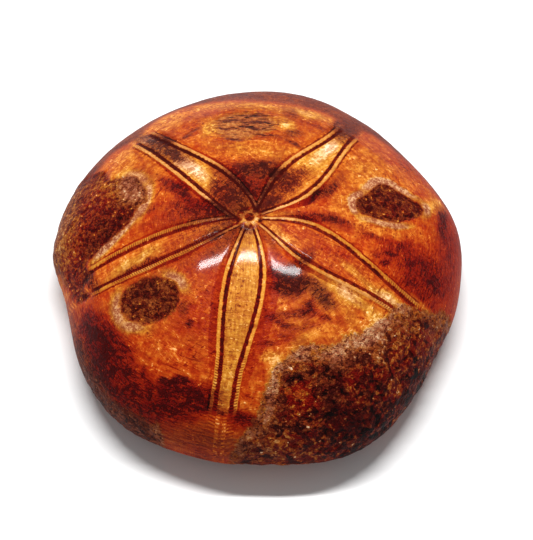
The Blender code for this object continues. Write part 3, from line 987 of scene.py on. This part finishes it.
def paint_grey_patch(f):
    """A dull patch behind the apex, crossed by short dark dashes that stray a little past it."""
    grey = f.step(f.field("grey") + f.ragged, -0.8, 1.2) * f.top
    f.lay(grey * 0.7, GREY_TONE + f.paler * 1.5 + f.stone * 0.8, grey * 0.7, 1.7)
    streaks = f.noise(f.place(f.x * 0.42, f.y * 2.2 - f.x * 0.12, f.z), 1.0, 1.0, 0.4)
    dashes = f.step(streaks, 0.605, 0.622) * (grey * 0.8 + f.step(f.field("grey"), -4.0, -1.0) * 0.4)
    f.tone = f.tone - dashes * 0.26


def paint_filling(f, bare):
    """Dark stone where the shell is gone, with grains, crumbs and a few bright specks that are partly pale
    crystals and partly painted glints.
    """
    grain = f.grains(f.spot, 0.75) - 0.5
    crumbs = f.spots(1.0, 0.44, 0.54, 3.0, 0.6, 0.4)
    # bright specks in the colour: partly pale crystals, partly painted glints of light
    crystals_and_glints = f.spots(0.7, 0.71, 0.73, 1.0, 0.4)
    tone = FILLING_TONE + f.paler * 0.7 + f.stone * 0.7 + grain * 0.12 + crumbs * 0.17 + crystals_and_glints * 0.25
    f.lay(bare, tone, bare, 0.15 + f.earthier + f.mottle * 1.5 + crumbs * 0.5)


def paint_rear_margin(f, rear):
    """Plain weathered brown."""
    tone = REAR_RIM_TONE + f.stone * 0.5 + f.fibres * 0.3 + f.cloud * 0.4
    f.lay(rear * 0.85, tone, rear * 0.85, 0.7)


def paint_crust(f, crust, crust_depth):
    """Rough crust: a pale edge of uneven width, then pits, lumps, chips, specks and bright specks that are
    partly pale crystals and partly painted glints.
    """
    edge = 1.0 - f.step(crust_depth + f.mottle * 8.0 + f.cloud * 6.0, 0.6, 4.6)
    pits = f.spots(2.6, 0.50, 0.56, 4.0, 0.6, 0.8)
    lumps = f.spots(1.6, 0.49, 0.56, 3.0, 0.6, 0.8)
    chips = f.spots(0.8, 0.56, 0.60)
    specks = f.spots(0.75, 0.58, 0.62, 2.0, 0.5)
    # bright specks in the colour: partly pale crystals, partly painted glints of light
    crystals_and_glints = f.spots(1.0, 0.69, 0.73, 2.0, 0.5)
    inner = CRUST_TONE + f.paler + f.stone * 0.4 - pits * 0.24 - specks * 0.1
    inner = inner + lumps * 0.16 + chips * 0.15 + crystals_and_glints * 0.35
    outer = CRUST_EDGE_TONE + f.paler * 0.6 + f.stone * 0.7 - pits * 0.04 - specks * 0.24
    outer = outer + lumps * 0.05 + crystals_and_glints * 0.2
    earth = f.earthier + 0.1 + edge * 0.9 + f.hue * 1.5 + (lumps + chips) * 0.5 + crystals_and_glints
    f.lay(crust, f.blend(edge, inner, outer), crust, earth)


def paint_underside(f):
    """Weathered brown, darker in the mouth, the furrows and the vent."""
    tone = UNDER_TONE + f.stone * 0.7 + f.cloud * 0.5 - f.field("hollow") * 0.14
    f.lay(f.under * 0.85, tone, f.under * 0.85, 0.7 + f.hue * 1.5)


def polished_fossil():
    """Amber calcite and golden petals under a hand polish that wear, pits and rough stone break."""
    f = Calcite("polished_fossil")
    bare_depth = f.field("bare") + f.ragged * 0.5
    bare = f.step(bare_depth, -0.2, 0.35) * f.top
    rear = f.step(f.field("rear_rim") + f.ragged, -0.5, 1.5)
    crust_depth = f.field("crust") + f.ragged * 0.9
    crust = f.step(crust_depth, -0.3, 0.6) * (1.0 - f.under * 0.7)

    paint_plates(f)
    petal_edges = paint_petals(f)
    paint_frayed_shell(f, bare_depth)
    paint_grey_patch(f)
    paint_filling(f, bare)
    paint_rear_margin(f, rear)
    paint_crust(f, crust, crust_depth)
    paint_underside(f)
    colour = f.mix(f.clamp(f.earth), f.ramp(f.tone, CLEAR), f.ramp(f.tone, EARTHY))
    colour = f.mix(f.clamp(f.earth - 1.0), colour, f.ramp(f.tone, CHALKY))

    rough = f.most(bare, crust, rear * 0.6)
    disc = 1.0 - f.step(f.reach, 2.8, 4.4)
    sides = f.step(f.reach, 20.0, 38.0)
    worn = f.most(rough, disc, sides, petal_edges, f.clamp(f.paler * -0.9))
    pitted = f.clamp(f.paler * -3.0)
    pocks = f.spots(0.8, 0.48, 0.56, 2.0, 0.5) * pitted
    height = f.mottle * 0.2 - pocks * 0.1 + f.grit * (rough * 0.3 + 0.08)
    height = height + f.fine * (rough * 0.5 + pitted * 0.35 + 0.13)
    bump = f.node("ShaderNodeBump", None, {"Strength": 1.0, "Distance": MM, "Height": height})
    return f.finished({
        "Base Color": colour,
        "Roughness": POLISHED_ROUGHNESS + worn * (WORN_ROUGHNESS - POLISHED_ROUGHNESS),
        "IOR": STONE_IOR,
        "Specular IOR Level": STONE_SHEEN,
        "Coat Weight": 1.0 - worn * COAT_LOST_TO_WEAR,
        "Coat Roughness": COAT_ROUGHNESS,
        "Coat IOR": COAT_IOR,
        "Normal": Wire(f, bump.outputs[0]),
    })


# ---------------------------------------------------------------- stage

CAMERA_AZIMUTH = 9.0
CAMERA_ELEVATION = 60.0
CAMERA_DISTANCE = 400.0
CAMERA_AIM = (2.3, -0.4, 10.7)
HALF_VIEW = 52.295  # half the height that the view takes in at the aim
FIELD_OF_VIEW = 2.0 * math.atan(HALF_VIEW / CAMERA_DISTANCE)
FLOOR_REACH = 3.0
FLOOR_GREY = 0.9
SURROUND_STRENGTH = 0.3


def towards(azimuth, elevation):
    """Unit vector from the object to a place at that azimuth and elevation."""
    a, e = math.radians(azimuth), math.radians(elevation)
    return Vector((math.sin(a) * math.cos(e), -math.cos(a) * math.cos(e), math.sin(e)))


def add_camera():
    data = bpy.data.cameras.new("camera")
    data.angle = FIELD_OF_VIEW
    data.clip_start = 0.01
    camera = bpy.data.objects.new("camera", data)
    back = towards(CAMERA_AZIMUTH, CAMERA_ELEVATION)
    camera.location = (Vector(CAMERA_AIM) + back * CAMERA_DISTANCE) * MM
    camera.rotation_euler = back.to_track_quat("Z", "Y").to_euler()
    bpy.context.scene.collection.objects.link(camera)
    bpy.context.scene.camera = camera


def add_soft_box(name, azimuth, elevation, distance, width, depth, power):
    """A rectangular soft light that faces the object."""
    data = bpy.data.lights.new(name, "AREA")
    data.shape = "RECTANGLE"
    data.size, data.size_y = width * MM, depth * MM
    data.energy = power
    light = bpy.data.objects.new(name, data)
    back = towards(azimuth, elevation)
    light.location = back * distance * MM
    light.rotation_euler = back.to_track_quat("Z", "Y").to_euler()
    bpy.context.scene.collection.objects.link(light)


def add_stage():
    """A pale floor, an even pale surround and one soft box overhead, a little behind the apex."""
    corners = ((-1, -1), (1, -1), (1, 1), (-1, 1))
    mesh = bpy.data.meshes.new("floor")
    mesh.from_pydata([(FLOOR_REACH * x, FLOOR_REACH * y, 0.0) for x, y in corners], [], [(0, 1, 2, 3)])
    floor = bpy.data.objects.new("floor", mesh)
    bpy.context.scene.collection.objects.link(floor)
    grey = (FLOOR_GREY, FLOOR_GREY, FLOOR_GREY, 1.0)
    mesh.materials.append(Finish("pale_floor").finished({"Base Color": grey, "Roughness": 0.9}))
    world = bpy.data.worlds.new("surround")
    bpy.context.scene.world = world
    world.use_nodes = True
    background = world.node_tree.nodes["Background"]
    background.inputs["Color"].default_value = (1.0, 1.0, 1.0, 1.0)
    background.inputs["Strength"].default_value = SURROUND_STRENGTH
    add_soft_box("overhead", azimuth=190, elevation=75, distance=700, width=460, depth=40, power=6.8)
    bpy.context.scene.view_settings.view_transform = "Standard"


def main():
    test = make_test()
    test.data.materials.append(polished_fossil())
    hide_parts("sand_dollar")
    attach(test, "root")
    add_camera()
    add_stage()


main()
